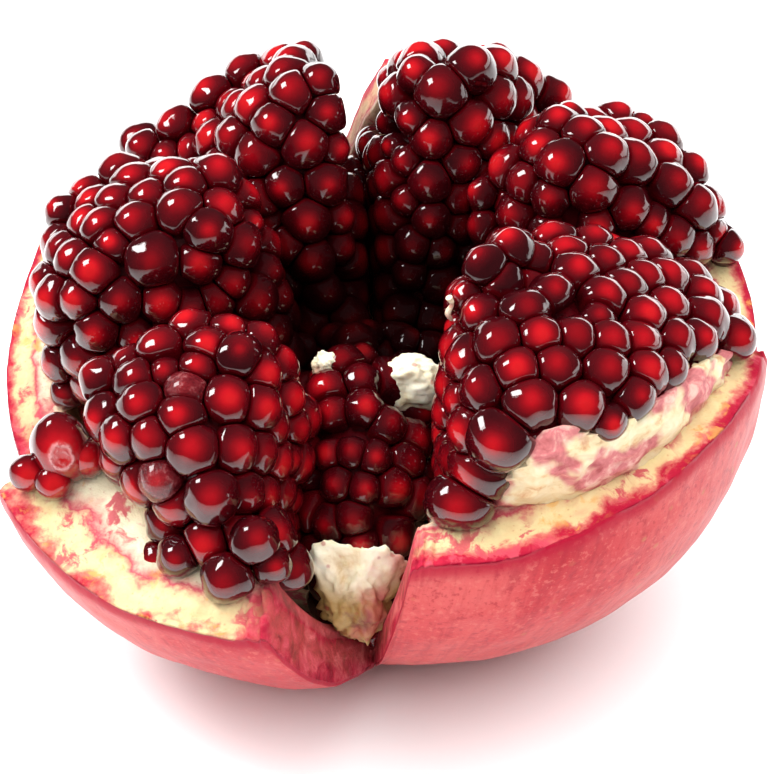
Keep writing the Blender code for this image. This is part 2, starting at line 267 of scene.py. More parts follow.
def build_rind():
    th, (height, wall, rise, flesh, frise, torn), la, lb, blend = rind_columns()
    circ = np.stack([np.cos(np.radians(th)), np.sin(np.radians(th)), 0 * th], -1)
    # ragged rim
    H = height + 0.50 * fbm(circ * 7, 3, 5) + 0.10 * fbm(circ * 30, 2, 6) + torn * 1.3 * fbm(circ * 60, 2, 7)
    s_rim = arc_at_height(H)
    n_out, n_cut, n_in = 68, 32, 28
    rows = []          # each: s, depth, cut value, along-rim distance
    for k in range(1, n_out + 1):
        f = k / n_out
        f = 1 - (1 - f) ** 1.15
        rows.append((s_rim * f, 0 * s_rim, 0 * s_rim, s_rim * (1 - f)))
    wall = wall * (1 + .12 * fbm(circ * 9, 2, 8))
    for k in range(1, n_cut + 1):
        f = k / n_cut * 2
        if f <= 1:
            d = wall * f
            ds = rise * f ** 1.3
        else:
            g = f - 1
            d = wall + flesh * g
            ds = rise + (frise - rise) * np.sin(g * math.pi / 2) ** 1.2
        rows.append((s_rim + ds, d, 0 * s_rim + f, 0 * s_rim))
    s_in = s_rim + frise
    d_in = wall + flesh
    for k in range(1, n_in):
        f = k / n_in
        d = d_in + (FLOOR_WALL + .6 - d_in) * smooth(0, .8, f)
        rows.append((s_in * (1 - f), d, 0 * s_rim + 2 + f * 2, 0 * s_rim))
    S = np.stack([r[0] for r in rows])
    Dp = np.stack([r[1] for r in rows])
    cut = np.stack([r[2] for r in rows])
    rim = np.stack([r[3] for r in rows])
    TH = np.broadcast_to(th, S.shape)
    Sc = np.clip(S, 0, PS[-1])
    R, Z = np.interp(Sc, PS, PR_), np.interp(Sc, PS, PZ_)
    TR, TZ = np.interp(Sc, PS, PTR), np.interp(Sc, PS, PTZ)
    over = S - Sc
    R, Z = R + over * TR, Z + over * TZ
    inner = cut > 0
    # relief: broad undulation of the skin, roughness of the cut and the flesh
    base = np.stack([R * np.cos(np.radians(TH)), R * np.sin(np.radians(TH)), Z], -1)
    skin_relief = (0.45 * fbm(base / 16, 2, 20) + 0.10 * fbm(base / 3.5, 2, 21)) * smooth(14, 22, S)
    # a rounded shoulder where the skin meets the cut
    lip = np.where(inner, 0, 0.5 * np.exp(-(rim / 0.9) ** 2))
    depth = Dp - np.where(inner, 0, skin_relief) + lip
    cz = smooth(0.02, .25, cut) * (1 - smooth(1.9, 2.2, cut))
    where = base + np.stack([0 * Dp, 0 * Dp, Dp * 1.0], -1) - base * (Dp / (R + 8))[..., None]
    relief = (0.50 * fbm(where / 3.2, 4, 30) + .22 * np.abs(fbm(where / 1.4, 3, 31))) * cz * (1 - .45 * smooth(1.0, 1.5, cut))
    relief = relief * (1 + 1.6 * torn * smooth(.05, .3, cut))
    Rr = np.maximum(R - depth * TZ + relief * TR, 0)
    Zr = Z + depth * TR + relief * TZ
    a = lean(TH, S, Rr, Zr, *la)
    b = lean(TH, S, Rr, Zr, *lb)
    w = blend[None, :, None]
    P = a * (1 - w) + b * w
    nr, nc = S.shape
    V = np.concatenate([[[0, 0, 0]], P.reshape(-1, 3), [[0, 0, FLOOR_WALL + .6]]])
    V[:, 2] = np.maximum(V[:, 2], 0)
    idx = 1 + np.arange(nr * nc).reshape(nr, nc)
    nxt = np.roll(idx, -1, 1)
    tris = [np.stack([np.zeros(nc, int), nxt[0], idx[0]], -1)]
    A, B, Cc, Dd = idx[:-1], nxt[:-1], nxt[1:], idx[1:]
    tris.append(np.stack([A, B, Cc], -1).reshape(-1, 3))
    tris.append(np.stack([A, Cc, Dd], -1).reshape(-1, 3))
    last = len(V) - 1
    tris.append(np.stack([idx[-1], nxt[-1], np.full(nc, last)], -1))
    F = np.concatenate(tris)
    full = lambda x, lo, hi: np.concatenate([[lo], np.broadcast_to(x, S.shape).ravel(), [hi]])
    attrs = {"cut": full(cut, 0, 4), "rim": full(np.where(inner, 0, rim), 60, 0),
             "torn": full(torn, 0, 0), "az": full(TH, 0, 0), "arc": full(S, 0, 0)}
    return V, F, attrs


RIND_V, RIND_F, rind_attrs = build_rind()
rind = make_mesh("rind_skin", RIND_V, RIND_F, rind_attrs)
_lip = (rind_attrs["cut"] > .95) & (rind_attrs["cut"] < 1.05)
LIP_AZ = np.degrees(np.arctan2(RIND_V[_lip, 1], RIND_V[_lip, 0]))
LIP_Z = RIND_V[_lip, 2]
_order = np.argsort(LIP_AZ)
LIP_AZ, LIP_Z = LIP_AZ[_order], LIP_Z[_order]
RIND_TREE = BVHTree.FromPolygons([tuple(v) for v in RIND_V], [tuple(f) for f in RIND_F.tolist()])


# -------------------------------------------------------------- clusters ----
# azimuth centre and half-width; radius centre and half-depth; height centre and
# half-height; lean outwards; fall to the outside; lift of the foot; fall along
# the azimuth; offset x, y
CLUSTERS = {
    "arils_front_right": (-38, 44, 30.5, 18.5, 46, 29.5, .22, 14, 24, -2, 3, 0),
    "arils_back_right":  (30, 24, 31.5, 18.5, 47.5, 32.5, .27, 16, 14, 0, 2, 0),
    "arils_back_center": (74, 22, 30.5, 17, 49, 36, .24, 16, 14, -2, 0, 0),
    "arils_back_left":   (121.5, 24, 32, 19, 47.5, 35, .28, 20, 14, -8, 0, 0),
    "arils_left":        (169, 25, 31.5, 19, 44, 31, .25, 14, 14, -2, 0, 0),
    "arils_front_left":  (225, 22, 31, 16.5, 39, 27, .35, 12, 10, -2, -1, 0),
}
POWER = 3.4
CENTER_POS, CENTER_SIZE = np.array([-4.0, -6.0, 24.0]), np.array([14.5, 26.0, 24.0])


def cluster_surface(name, nu=72, nv=48):
    """points and outward normals of a cluster's outer surface"""
    u = np.linspace(-math.pi, math.pi, nu, endpoint=False)
    v = np.linspace(-math.pi / 2, math.pi / 2, nv + 2)
    U, Vv = np.meshgrid(u, v)
    d = np.stack([np.cos(Vv) * np.cos(U), np.cos(Vv) * np.sin(U), np.sin(Vv)], -1)
    if name == "arils_center":
        P = d * CENTER_SIZE + CENTER_POS
    else:
        tc, dt, rc, dr, zc, dz, tilt, drop, lift, skew, ox, oy = CLUSTERS[name]
        d = d / (np.abs(d) ** POWER).sum(-1, keepdims=True) ** (1 / POWER)
        x, y, z = d[..., 0], d[..., 1], d[..., 2]
        X, Z1 = (x + 1) / 2, (z + 1) / 2
        Z = zc + dz * z - drop * X * Z1 + lift * X * (1 - Z1) + skew * y
        R = rc + dr * x + tilt * (Z - zc)
        T = np.radians(tc + dt * y)
        P = np.stack([R * np.cos(T) + ox, R * np.sin(T) + oy, Z], -1)
    idx = np.arange(P.shape[0] * P.shape[1]).reshape(P.shape[:2])
    nxt = np.roll(idx, -1, 1)
    F = np.concatenate([np.stack([idx[:-1], nxt[:-1], nxt[1:]], -1).reshape(-1, 3),
                        np.stack([idx[:-1], nxt[1:], idx[1:]], -1).reshape(-1, 3)])
    V = P.reshape(-1, 3)
    # drop the zero-area triangles at the two poles
    A = V[F]
    area = np.linalg.norm(np.cross(A[:, 1] - A[:, 0], A[:, 2] - A[:, 0]), axis=1)
    F = F[area > 1e-6]
    A = V[F]
    fn = np.cross(A[:, 1] - A[:, 0], A[:, 2] - A[:, 0])
    N = np.zeros_like(V)
    for k in range(3):
        np.add.at(N, F[:, k], fn)
    # the pole rows share a place: give them one normal
    nu_ = P.shape[1]
    for rows in (slice(0, nu_), slice(len(V) - nu_, len(V))):
        N[rows] = N[rows].sum(0)
    N /= np.linalg.norm(N, axis=1)[:, None] + 1e-12
    return V, F, N


def tree_of(V, F):
    return BVHTree.FromPolygons([tuple(v) for v in V], [tuple(f) for f in F.tolist()])


SINK = 2.9        # how far an aril's centre lies under the cluster's outer surface
SURF = {}
for name in list(CLUSTERS) + ["arils_center"]:
    V, F, N = cluster_surface(name)
    SURF[name] = (V, F, N, tree_of(V, F), tree_of(V - N * SINK, F), V - N * SINK)


def nearest_normal(name, p):
    V, F, N, tree, inner, IV = SURF[name]
    co, nn, fi, dist = inner.find_nearest(Vector(p))
    return np.array(co), np.array(nn)


def seat(name, px, py):
    """where the line of sight through a pixel meets the layer of aril centres"""
    inner = SURF[name][4]
    d = sight(px, py)
    hit = inner.ray_cast(Vector(EYE), Vector(d), 900)
    if hit[0] is not None:
        return np.array(hit[0]), np.array(hit[1])
    best = None
    for t in np.arange(330, 480, 1.0):
        p = EYE + d * t
        co, nn, fi, dist = inner.find_nearest(Vector(p))
        if best is None or dist < best[0]:
            best = (dist, p, np.array(nn), np.array(co))
    p = best[1]
    n = p - best[3]
    n = n / (np.linalg.norm(n) + 1e-9)
    return p, n


# arils placed one by one, by cluster: x, y and width in the 774 px frame, then
# optionally a letter (b bruised, d dull), the way a long one lies and its stretch
SEEN = {
    "arils_front_right": [
        (513, 249, 40), (554, 243, 41), (593, 246, 40), (645, 259, 44), (687, 281, 42),
        (719, 308, 38), (735, 340, 42), (486, 267, 38), (529, 264, 40), (575, 274, 41),
        (623, 291, 42), (666, 308, 40), (697, 342, 40), (499, 283, 42), (552, 295, 40),
        (480, 315, 36), (526, 313, 43), (597, 320, 32), (573, 340, 43), (637, 345, 43),
        (667, 370, 40), (500, 346, 48), (554, 369, 44), (605, 372, 44), (635, 397, 40),
        (484, 390, 44), (530, 403, 46), (581, 407, 44), (608, 424, 34),
        (499, 441, 52, "", (1, -.45), 1.25), (478, 470, 52, "", (1, -.35), 1.3),
        (460, 503, 50, "", (1, -.1), 1.35), (466, 296, 28), (459, 330, 28), (457, 362, 30),
        (452, 398, 30), (450, 432, 30), (446, 466, 28), (462, 425, 30)],
    "arils_back_right": [
        (569, 117, 30), (583, 139, 43), (616, 124, 43), (659, 141, 39), (631, 162, 43),
        (672, 186, 40), (690, 170, 34), (705, 211, 40), (544, 150, 40), (510, 168, 40),
        (551, 196, 35), (591, 186, 44), (518, 214, 38), (485, 227, 34), (630, 209, 38),
        (596, 225, 34), (673, 236, 38), (695, 247, 34), (728, 247, 30), (710, 233, 32),
        (482, 193, 28), (650, 222, 32), (548, 232, 32), (640, 128, 30)],
    "arils_back_center": [
        (418, 74, 36), (470, 68, 45), (441, 91, 47), (521, 80, 42), (494, 98, 42),
        (470, 123, 41), (552, 98, 38), (496, 60, 34), (394, 81, 32), (412, 119, 31),
        (432, 138, 35), (390, 122, 26), (373, 146, 28), (378, 163, 28), (395, 146, 26),
        (406, 161, 27), (429, 181, 38), (461, 162, 36), (406, 199, 28), (431, 218, 33),
        (414, 244, 34), (409, 274, 30), (359, 187, 28), (357, 208, 26), (522, 120, 32),
        (504, 138, 30), (541, 120, 32), (372, 192, 26), (390, 178, 26), (460, 196, 34),
        (384, 222, 28), (440, 250, 30), (358, 232, 28)],
    "arils_back_left": [
        (284, 66, 43), (303, 60, 36), (248, 76, 42), (214, 98, 42), (178, 128, 40),
        (143, 149, 33), (296, 94, 45), (259, 111, 46),
        (217, 142, 42), (319, 82, 36), (325, 113, 38), (305, 143, 43), (259, 154, 43),
        (168, 158, 32), (205, 173, 30), (243, 184, 32), (284, 187, 35), (325, 183, 41),
        (334, 149, 30), (270, 222, 30), (306, 221, 41), (312, 259, 40), (270, 248, 28),
        (339, 217, 30), (340, 248, 30), (284, 282, 36), (325, 292, 34)],
    "arils_left": [
        (63, 212, 34), (90, 199, 42), (91, 226, 41), (121, 174, 41), (135, 187, 45),
        (137, 226, 45), (172, 179, 42), (182, 212, 44), (220, 211, 39), (59, 243, 35),
        (239, 246, 41, "", (.6, 1), 1.15), (249, 224, 28), (96, 273, 46), (154, 260, 48, "", (1, .35), 1.1),
        (199, 260, 38), (51, 283, 40), (58, 321, 45), (78, 299, 36), (121, 299, 38),
        (162, 300, 38), (217, 297, 35), (96, 330, 38), (60, 362, 36), (67, 394, 31),
        (137, 337, 33), (264, 273, 36), (272, 298, 40), (190, 307, 36), (230, 283, 34),
        (114, 246, 34)],
    "arils_front_left": [
        (162, 352, 48, "", (1, 0), 1.1), (208, 354, 44), (227, 335, 40), (259, 342, 38),
        (102, 379, 42), (140, 383, 43), (165, 374, 30), (186, 394, 40, "b"), (200, 366, 34),
        (228, 401, 43), (260, 375, 40), (285, 398, 38), (108, 418, 45), (153, 436, 44),
        (193, 448, 46), (235, 449, 42), (269, 427, 38), (122, 468, 34, "b"), (161, 481, 40, "b"),
        (212, 497, 46), (258, 492, 42), (282, 457, 38), (286, 499, 32), (168, 521, 40),
        (208, 542, 46), (255, 538, 42), (283, 524, 32), (179, 557, 38), (226, 580, 44),
        (273, 565, 34)],
    "arils_center": [
        (296, 350, 28), (334, 338, 28), (367, 334, 28), (408, 341, 27), (430, 348, 28),
        (362, 357, 26), (360, 381, 34), (333, 414, 33), (306, 417, 27), (366, 411, 36),
        (385, 424, 36), (410, 442, 40), (306, 447, 28), (331, 454, 30), (353, 452, 30),
        (373, 458, 30), (404, 463, 38), (338, 484, 30), (308, 477, 28), (364, 489, 28),
        (393, 489, 38), (330, 523, 34), (354, 519, 34), (360, 544, 30),
        (393, 538, 38, "", (-.15, 1), 1.6), (417, 413, 32), (432, 436, 30), (424, 474, 30),
        (420, 505, 30), (300, 385, 28), (322, 380, 26)],
}


def outside_cavity(p, gap=0.6):
    """whether the rind stands between p and the middle of the fruit"""
    for o in ((0, 0, 46), (0, -4, 62)):
        d = Vector(p) - Vector(o)
        h = RIND_TREE.ray_cast(Vector(o), d.normalized(), d.length + gap)
        if h[0] is None:
            return False
    return True


def fill(name, fixed, fixed_r, apart=4.35):
    """spread centres evenly over the rest of the cluster"""
    V, F, N, tree, inner, IV = SURF[name]
    A = IV[F]
    area = np.linalg.norm(np.cross(A[:, 1] - A[:, 0], A[:, 2] - A[:, 0]), axis=1) / 2
    rng = np.random.default_rng(sum(map(ord, name)))
    pick = rng.choice(len(F), 9000, p=area / area.sum())
    w = rng.dirichlet((1, 1, 1), 9000)
    cand = (A[pick] * w[:, :, None]).sum(1)
    pts = [np.array(f) for f in fixed]
    keep = [.70 * (r + 3.1) for r in fixed_r]
    skip = len(pts)
    for c in cand:
        if pts and (np.linalg.norm(np.array(pts) - c, axis=1) < keep).any():
            continue
        pts.append(c)
        keep.append(apart)
    pts = np.array(pts)
    for _ in range(8):
        own = np.empty(len(cand), int)
        for k in range(0, len(cand), 1500):
            own[k:k + 1500] = np.linalg.norm(cand[k:k + 1500, None] - pts[None], axis=-1).argmin(1)
        for i in range(skip, len(pts)):
            m = own == i
            if m.any():
                pts[i] = inner.find_nearest(Vector(cand[m].mean(0)))[0]
    return pts[skip:]


# places of the frame where no aril shows: above the heads, the cleft between two
# heads, and the flesh and skin below them
CLEAR = [
    [(-50, -50), (824, -50), (824, 330), (768, 300), (752, 245), (742, 213), (722, 178), (700, 150),
     (668, 122), (640, 104), (600, 98), (570, 92), (550, 76), (530, 60), (500, 46), (430, 44),
     (395, 52), (382, 66), (379, 128), (360, 138), (357, 172), (346, 182), (341, 160), (342, 130),
     (335, 95), (319, 58), (300, 41), (262, 41), (240, 56), (210, 76), (186, 88), (170, 102),
     (146, 122), (112, 142), (100, 160), (74, 188), (46, 214), (32, 262), (31, 340), (44, 392),
     (82, 402), (88, 436), (104, 480), (142, 506), (148, 540), (160, 576), (188, 586), (212, 606),
     (248, 606), (285, 592), (300, 640), (300, 900), (-50, 900)],
    [(428, 532), (486, 526), (502, 494), (526, 472), (534, 446), (560, 430), (585, 427), (610, 443),
     (640, 424), (682, 392), (712, 364), (752, 356), (764, 330), (824, 330), (824, 900), (428, 900)],
]


def project(p):
    q = np.asarray(p) - EYE
    d = q @ -BACK
    return FRAME_PX / 2 + PX * (q @ RIGHT) / d, FRAME_PX / 2 - PX * (q @ UP) / d


def within(poly, x, y):
    hit = False
    for (x0, y0), (x1, y1) in zip(poly, poly[1:] + poly[:1]):
        if (y0 > y) != (y1 > y) and x < x0 + (y - y0) * (x1 - x0) / (y1 - y0):
            hit = not hit
    return hit


def in_clear(p, r):
    x, y = project(p)
    rp = r * PX / depth_of(p) * .8
    for poly in CLEAR:
        for a in np.arange(8) * math.pi / 4:
            if within(poly, x + rp * math.cos(a), y + rp * math.sin(a)):
                return True
    return False


def reach(x, y):
    """how far along a line of sight the rind is"""
    h = RIND_TREE.ray_cast(Vector(EYE), Vector(sight(x, y)), 900)
    return h[3]


arils = []        # each: cluster, centre, normal, radius, kind, placed, axis, stretch
for name in SURF:
    fixed, fixed_r = [], []
    for x, y, wd, *more in SEEN[name]:
        p, n = seat(name, x, y)
        t = min([h for h in (reach(x + dx * wd, y + dy * wd) for dx, dy in ((0, 0), (-.25, .28), (.25, .28), (0, .36)))
                 if h is not None] or [1e9])
        r = wd * depth_of(p) / PX / 2
        far = np.linalg.norm(p - EYE)
        if name == "arils_front_left" and y > 478 and not far - 22 < t < far + .5 * r:
            # in line with those that rest on the flesh below
            for k in range(6, 76, 6):
                h = reach(x, y + k)
                if h is not None and far - 22 < h - .055 * k < far:
                    t = h - .055 * k
                    break
        if far - (45 if x > 440 else 22) < t < far + .5 * r and not 278 < x < 440:
            p = EYE + sight(x, y) * (t - .5 * r)
            n = BACK * .8 + np.array([0, 0, .35]) + n * .5
            n = n / np.linalg.norm(n)
            r = wd * depth_of(p) / PX / 2
        axis, f = None, 1.0
        if len(more) > 1:
            axis = RIGHT * more[1][0] + UP * more[1][1]
            f = more[2]
        fixed.append(p)
        fixed_r.append(r * f)
        arils.append([name, p, n, r, more[0] if more else "", True, axis, f])
        # one beyond the layer rests on others behind it
        co, nn, fi, off = SURF[name][4].find_nearest(Vector(p))
        if off > 1.2 and (Vector(p) - co).dot(nn) > 0:
            for back in (p - n * 4.6 + sight(x, y) * 1.5, p + sight(x, y) * 5.0 - n * 1.0):
                if in_clear(back, 3.1):
                    continue
                arils.append([name, back, n, 3.1, "", False, None, 1.0])
                fixed.append(back)
                fixed_r.append(3.1)
    for p in fill(name, fixed, fixed_r):
        co, n = nearest_normal(name, p)
        if outside_cavity(p) or in_clear(p, 3.1):
            continue
        # not inside a neighbouring cluster
        bad = False
        for nm, sf in SURF.items():
            if nm != name:
                co2, nn2, fi2, d2 = sf[4].find_nearest(Vector(p))
                if (Vector(p) - co2).dot(nn2) < -.5 and d2 < 25:
                    bad = True
        if bad:
            continue
        arils.append([name, p, n, 3.1 + RNG.normal() * .12, "", False, None, 1.0])
print("arils", len(arils), "placed", sum(a[5] for a in arils))

# the arils of two clusters press on each other as those of one do
C = np.array([a[1] for a in arils])
Nn = np.array([a[2] for a in arils])
Rr = np.array([a[3] for a in arils])
fixedm = np.array([a[5] for a in arils])
for _ in range(6):
    D = C[:, None] - C[None]
    L = np.linalg.norm(D, axis=-1)
    np.fill_diagonal(L, 1e9)
    want = (Rr[:, None] + Rr[None]) * .82
    push = np.clip(want - L, 0, None)
    mv = (D / L[..., None] * push[..., None]).sum(1) * .3
    mv[fixedm] *= .15
    C = C + mv

ICO_V, ICO_F = icosphere(4)
P_SOFT = 11.0
# the way every aril's painted glow leans: to the front and up
GLOW_LEAN = np.array([0.0, -0.80, 0.42])


def aril_shape(i):
    """one aril: a rounded body flattened against each neighbour, with its painted glow"""
    c, n, r = C[i], Nn[i], Rr[i]
    D = ICO_V
    dn = D @ n
    out = np.where(dn > 0, r * 1.10, r * 1.6)
    axis, f = arils[i][6], arils[i][7]
    side = 1 - dn ** 2
    if axis is not None:
        axis = axis - n * (axis @ n)
        axis = axis / np.linalg.norm(axis)
        side = side - (1 - 1 / f ** 2) * (D @ axis) ** 2
    V = C - c
    L = np.linalg.norm(V, axis=1)
    near = np.nonzero((L < r * 3.4) & (L > 1e-6))[0]
    # it reaches further towards a neighbour than into the open
    close = np.zeros(len(D))
    for j in near:
        if L[j] < r + Rr[j] + 1.6:
            close = np.maximum(close, np.clip(D @ (V[j] / L[j]), 0, 1) ** 2)
    at = r * (1.06 + .50 * close)
    t_e = 1 / np.sqrt((dn / out) ** 2 + side / at ** 2)
    inv = t_e ** -P_SOFT
    press = np.zeros(len(D))
    for j in near:
        h = L[j] * r / (r + Rr[j]) - 0.05
        h = max(h, r * .45)
        m = np.clip(D @ (V[j] / L[j]), 0, None) / h
        inv = inv + m ** P_SOFT
        press = np.maximum(press, m * t_e)
    t = inv ** (-1 / P_SOFT)
    rng = np.random.default_rng(1000 + i)
    t = t * (1 + .018 * noise(D * 1.7 + rng.uniform(0, 50, 3)) + .006 * noise(D * 5 + rng.uniform(0, 50, 3)))
    P = c + D * t[:, None]
    # painted glow: bright red in the colour where light would shine through the aril onto its seed
    g = n * 1.0 + GLOW_LEAN * 0.9
    g = g / np.linalg.norm(g)
    ang = np.degrees(np.arccos(np.clip(D @ g, -1, 1)))
    painted_glow = np.exp(-(ang / (37 + rng.normal() * 4)) ** 2)
    # seen from behind, a fainter painted glow, as of light from within
    painted_glow = np.maximum(painted_glow, .62 * np.exp(-(np.degrees(np.arccos(np.clip(dn, -1, 1))) / 34) ** 2))
    return P, painted_glow, press, rng


def hollow_shade(P):
    """painted shade: how far a place lies down in the hollow behind the front of the fruit, or in the cleft at its
    front
    """
    back = (smooth(68, 47, P[:, 2]) * smooth(-12, 1, P[:, 1])
            * smooth(39, 24, np.hypot(P[:, 0], P[:, 1] - 8)))
    cleft = (smooth(36, 26, P[:, 2]) * smooth(7, 3, np.abs(P[:, 0] + 11.5))
             * smooth(-43, -37, P[:, 1]) * smooth(-12, -20, P[:, 1]))
    return np.maximum(back, .85 * cleft)


def aril_object(name, ids, mat):
    Vs, Fs, painted_glow, press, rnd, kind = [], [], [], [], [], []
    off = 0
    for i in ids:
        P, g, pr, rng = aril_shape(i)
        Vs.append(P)
        Fs.append(ICO_F + off)
        off += len(P)
        painted_glow.append(g)
        press.append(pr)
        rnd.append(np.full(len(P), rng.uniform()))
        kind.append(np.full(len(P), {"b": 1.0, "d": .5}.get(arils[i][4], 0.0)))
    ob = make_mesh(name, np.concatenate(Vs), np.concatenate(Fs),
                   {"hollow_shade": hollow_shade(np.concatenate(Vs)), "painted_glow": np.concatenate(painted_glow), "press": np.concatenate(press),
                    "rnd": np.concatenate(rnd), "kind": np.concatenate(kind)})
    ob.data.materials.append(mat)
    return ob


# ------------------------------------------------------------- materials ----
class Nodes:
    """short names for building a material's node tree"""

    def __init__(self, name):
        self.mat = bpy.data.materials.new(name)
        self.mat.use_nodes = True
        self.nt = self.mat.node_tree
        self.bsdf = self.nt.nodes["Principled BSDF"]

    def new(self, kind, **props):
        n = self.nt.nodes.new(kind)
        for k, v in props.items():
            setattr(n, k, v)
        return n

    def put(self, socket, value):
        if isinstance(value, bpy.types.NodeSocket):
            self.nt.links.new(value, socket)
        elif value is not None:
            if socket.type == "RGBA" and len(value) == 3:
                value = (*value, 1.0)
            socket.default_value = value

    def attr(self, name):
        return self.new("ShaderNodeAttribute", attribute_name=name).outputs["Fac"]

    def math(self, op, a, b=None, c=None, clamp=False):
        n = self.new("ShaderNodeMath", operation=op, use_clamp=clamp)
        for s, v in zip(n.inputs, (a, b, c)):
            self.put(s, v)
        return n.outputs[0]

    def step(self, value, lo, hi, a=0.0, b=1.0):
        n = self.new("ShaderNodeMapRange", interpolation_type="SMOOTHSTEP")
        for s, v in zip(n.inputs[:5], (value, lo, hi, a, b)):
            self.put(s, v)
        return n.outputs[0]

    def mix(self, fac, a, b, mode="MIX"):
        n = self.new("ShaderNodeMix", data_type="RGBA", blend_type=mode)
        self.put(n.inputs[0], fac)
        self.put(n.inputs[6], a)
        self.put(n.inputs[7], b)
        return n.outputs[2]

    def coords(self):
        return self.new("ShaderNodeTexCoord").outputs["Object"]

    def mapping(self, vec, scale):
        n = self.new("ShaderNodeMapping")
        self.put(n.inputs[0], vec)
        n.inputs["Scale"].default_value = scale if isinstance(scale, tuple) else (scale,) * 3
        return n.outputs[0]

    def noise(self, vec, scale, detail=4, rough=.55, dist=0.0):
        n = self.new("ShaderNodeTexNoise")
        self.put(n.inputs["Vector"], vec)
        n.inputs["Scale"].default_value = scale
        n.inputs["Detail"].default_value = detail
        n.inputs["Roughness"].default_value = rough
        n.inputs["Distortion"].default_value = dist
        return n.outputs["Fac"]

    def voronoi(self, vec, scale, feature="F1", rand=1.0):
        n = self.new("ShaderNodeTexVoronoi", feature=feature)
        self.put(n.inputs["Vector"], vec)
        n.inputs["Scale"].default_value = scale
        n.inputs["Randomness"].default_value = rand
        return n.outputs["Distance"]

    def ramp(self, fac, stops):
        n = self.new("ShaderNodeValToRGB")
        cr = n.color_ramp
        while len(cr.elements) > len(stops):
            cr.elements.remove(cr.elements[-1])
        while len(cr.elements) < len(stops):
            cr.elements.new(1.0)
        for e, (p, c) in zip(cr.elements, stops):
            e.position = p
            e.color = (*c, 1.0)
        self.put(n.inputs[0], fac)
        return n.outputs[0]

    def bump(self, height, strength, distance, normal=None):
        n = self.new("ShaderNodeBump")
        n.inputs["Strength"].default_value = strength
        n.inputs["Distance"].default_value = distance
        self.put(n.inputs["Height"], height)
        self.put(n.inputs["Normal"], normal)
        return n.outputs[0]

    def set(self, **kw):
        for k, v in kw.items():
            self.put(self.bsdf.inputs[k.replace("_", " ")], v)
        return self.mat


def aril_material():
    m = Nodes("aril_ruby")
    co = m.coords()
    painted_glow, press, rnd, kind = m.attr("painted_glow"), m.attr("press"), m.attr("rnd"), m.attr("kind")
    streak = m.noise(m.mapping(co, 420), 1.0, 3, .6)
    # painted shade: darker in the seams where an aril presses on its neighbours
    seam_shade = m.step(press, .84, 1.04)
    # painted glow: the body runs from near black to bright red where the glow is painted, unevenly from aril to aril
    g = m.math("MULTIPLY", painted_glow, m.math("MULTIPLY_ADD", rnd, .60, .58))
    g = m.math("ADD", g, m.math("MULTIPLY", m.math("SUBTRACT", streak, .5), .22), clamp=True)
    body = m.ramp(g, [(0.0, (.022, .0010, .0022)), (.35, (.075, .0013, .0035)),
                      (.62, (.17, .0017, .0046)), (.85, (.30, .0028, .0068)), (1.0, (.375, .0052, .0080))])
    body = m.mix(m.math("MULTIPLY", seam_shade, .7), body, (.085, .0008, .003))
    mott = m.noise(m.mapping(co, 900), 1.0, 4, .65)
    coarse_m = m.noise(m.mapping(co, 1300), 1.0, 3, .6)
    # bruised arils: mottled darker red with pale pink speckles, partly bruising and partly painted highlight
    dull = m.ramp(mott, [(.35, (.07, .003, .006)), (.56, (.20, .012, .018)), (.72, (.50, .17, .17))])
    body = m.mix(m.math("MULTIPLY", kind, .42), body, dull)
    # painted shade: near black down in the hollow
    body = m.mix(m.math("MULTIPLY", m.attr("hollow_shade"), .94), body, (.004, .0004, .0006))
    body = m.mix(m.math("MULTIPLY", m.attr("mark"), m.step(coarse_m, .40, .56, .15, .8)), body, (.62, .30, .30))
    rough = m.math("MULTIPLY_ADD", kind, .18, .07)
    fine = m.noise(m.mapping(co, 260), 1.0, 3, .5)
    coarse = m.noise(m.mapping(co, 1500), 1.0, 2, .5)
    hgt = m.math("ADD", m.math("MULTIPLY", fine, 1.0), m.math("MULTIPLY", coarse, .12))
    hgt = m.math("ADD", hgt, m.math("MULTIPLY", m.math("MULTIPLY", mott, kind), 5.0))
    bump = m.bump(hgt, .32, .0004)
    # the coat is thinner down in the hollow, with its painted shade
    m.set(Base_Color=body, Roughness=rough, Normal=bump, Coat_Roughness=.03,
          Coat_Weight=m.math("MULTIPLY_ADD", m.attr("hollow_shade"), -.85, 1.0))
    m.bsdf.inputs["Coat IOR"].default_value = 1.46
    m.bsdf.inputs["IOR"].default_value = 1.35
    m.bsdf.inputs["Subsurface Weight"].default_value = 0.0
    return m.mat


def core_material():
    m = Nodes("aril_core_shade_and_flesh")
    co = m.coords()
    n = m.noise(m.mapping(co, 300), 1.0, 3)
    # painted shade: the core under the arils is dark red, standing for the shade in the gaps between them, and near
    # black down in the hollow
    gap_shade = m.ramp(n, [(.3, (.035, .0008, .0025)), (.7, (.10, .0015, .005))])
    gap_shade = m.mix(m.math("MULTIPLY", m.attr("hollow_shade"), .9), gap_shade, (.004, .0004, .0006))
    # where it meets the rind it is the white flesh the arils sit in
    mott = m.noise(m.mapping(co, 340), 1.0, 5, .62, .5)
    broad = m.noise(m.mapping(co, 120), 1.0, 3, .5)
    bed = m.ramp(mott, [(.30, (.56, .30, .14)), (.44, (.74, .58, .34)), (.70, (.80, .72, .52))])
    blush = m.ramp(mott, [(.36, (.34, .03, .06)), (.52, (.56, .12, .15)), (.66, (.72, .40, .34))])
    bed = m.mix(m.step(broad, .47, .56, 0, .9), bed, blush)
    fac = m.step(m.math("ADD", m.attr("bed"), m.math("MULTIPLY", m.math("SUBTRACT", mott, .5), .5)), .42, .56)
    m.set(Base_Color=m.mix(fac, gap_shade, bed), Roughness=m.math("MULTIPLY_ADD", fac, .35, .22),
          Normal=m.bump(mott, .45, .0006))
    return m.mat


